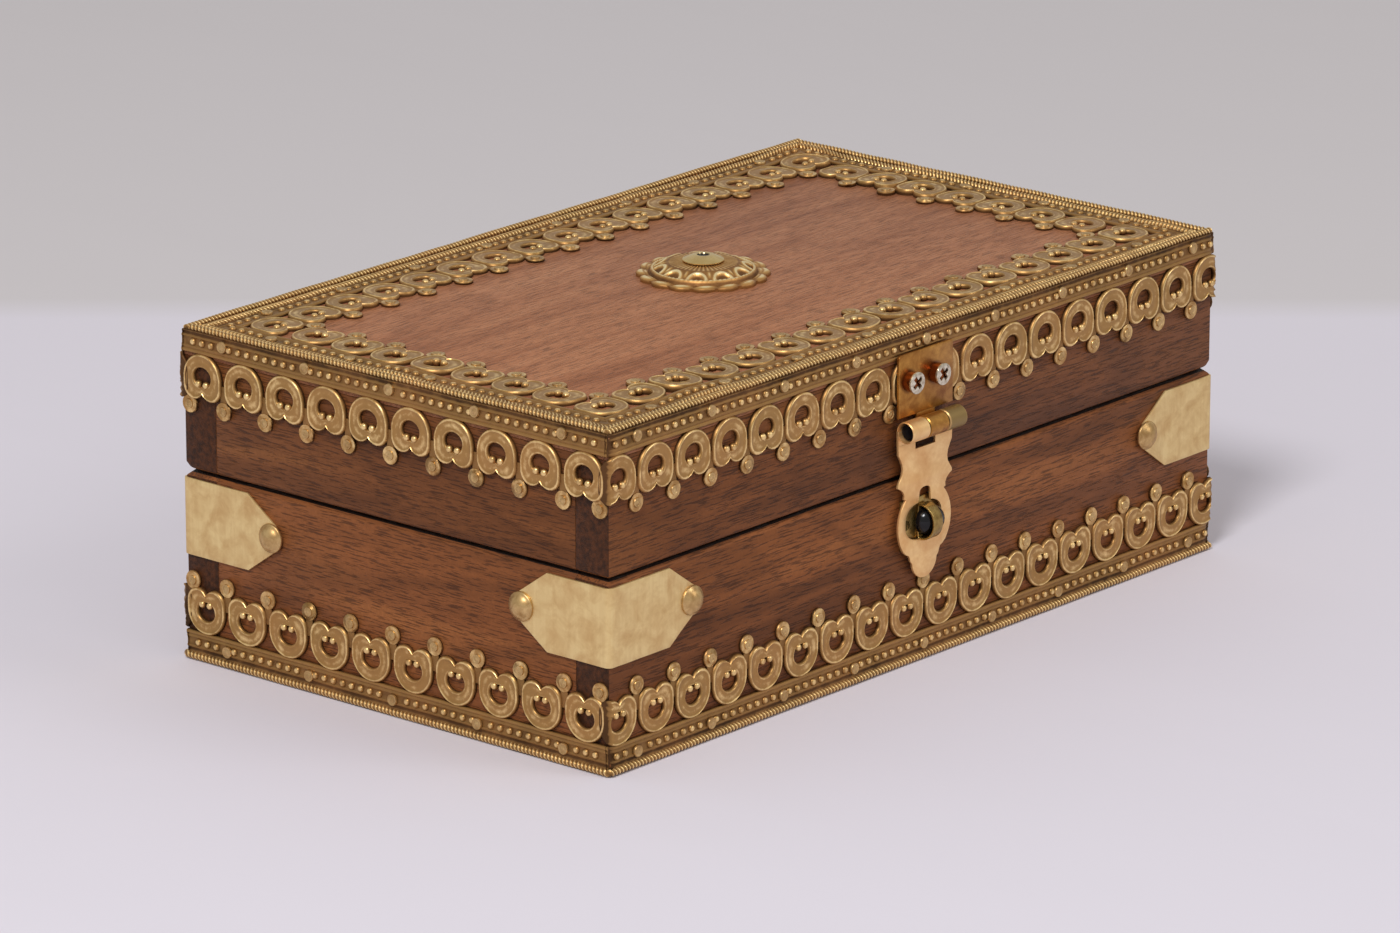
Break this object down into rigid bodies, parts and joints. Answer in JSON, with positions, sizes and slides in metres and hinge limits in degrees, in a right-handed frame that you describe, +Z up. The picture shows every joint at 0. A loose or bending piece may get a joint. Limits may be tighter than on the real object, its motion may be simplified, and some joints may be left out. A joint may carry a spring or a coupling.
{
  "type": "jewellery box",
  "caption": "Small wooden box with a hinged lid, pierced ring-pattern brass edging, brass corner brackets, a rosette on the lid and a hasp and staple latch.",
  "frame": {"origin": "middle of the flat underside of the wooden box", "axes": "+Z up, +X along the long side, the latch side looks towards -Y and the hinges are at +Y"},
  "size_m": [0.2058, 0.1284, 0.0768],
  "materials": {
    "wood_side": "oiled dark red-brown hardwood with streaks and open pores",
    "wood_top": "oiled red-brown hardwood, paler on the lid",
    "antique_brass": "pressed brass sheet, dark in its recesses",
    "pale_brass": "brushed brass sheet with light tarnish",
    "nail_brass": "round brass nail heads",
    "latch_brass": "satin copper-gold brass sheet",
    "nickel": "nickel-plated screws",
    "dark_steel": "dark steel pins",
    "velvet": "maroon velvet glued to the boards"
  },
  "bodies": {
    "base": {"base_front_board": "wood_side", "base_back_board": "wood_side", "base_left_board": "wood_side", "base_right_board": "wood_side", "base_bottom_board": "wood_side", "base_lining": "velvet", "base_front_strip": "antique_brass", "base_back_strip": "antique_brass", "base_left_strip": "antique_brass", "base_right_strip": "antique_brass", "base_strip_nails": "nail_brass", "bracket_front_left": "pale_brass", "bracket_front_right": "pale_brass", "bracket_back_left": "pale_brass", "bracket_back_right": "pale_brass", "bracket_nails": "nail_brass", "staple": "antique_brass", "staple_nails": "nail_brass", "hinge_left_base_leaf": "antique_brass", "hinge_right_base_leaf": "antique_brass", "base_hinge_screws": "nickel", "hinge_pins": "dark_steel"},
    "lid": {"lid_front_board": "wood_side", "lid_back_board": "wood_side", "lid_left_board": "wood_side", "lid_right_board": "wood_side", "lid_top_board": "wood_top", "lid_lining": "velvet", "lid_front_strip": "antique_brass", "lid_back_strip": "antique_brass", "lid_left_strip": "antique_brass", "lid_right_strip": "antique_brass", "lid_strip_nails": "nail_brass", "top_front_strip": "antique_brass", "top_back_strip": "antique_brass", "top_left_strip": "antique_brass", "top_right_strip": "antique_brass", "top_strip_nails": "nail_brass", "rosette": "antique_brass", "rosette_screw": "nickel", "hasp_plate": "latch_brass", "hasp_screws": "nickel", "hinge_left_lid_leaf": "antique_brass", "hinge_right_lid_leaf": "antique_brass", "lid_hinge_screws": "nickel"},
    "hasp": {"hasp_strap": "latch_brass", "hasp_pin": "dark_steel"}
  },
  "joints": [
    {"name": "lid_hinge", "type": "hinge", "parent": "base", "child": "lid", "pos_m": [0, 0.0582, 0.0421], "axis": [-1, 0, 0], "range_deg": [0, 100]},
    {"name": "hasp_swing", "type": "hinge", "parent": "lid", "child": "hasp", "pos_m": [-0.0012, -0.0628, 0.0529], "axis": [-1, 0, 0], "range_deg": [0, 165]}
  ]
}
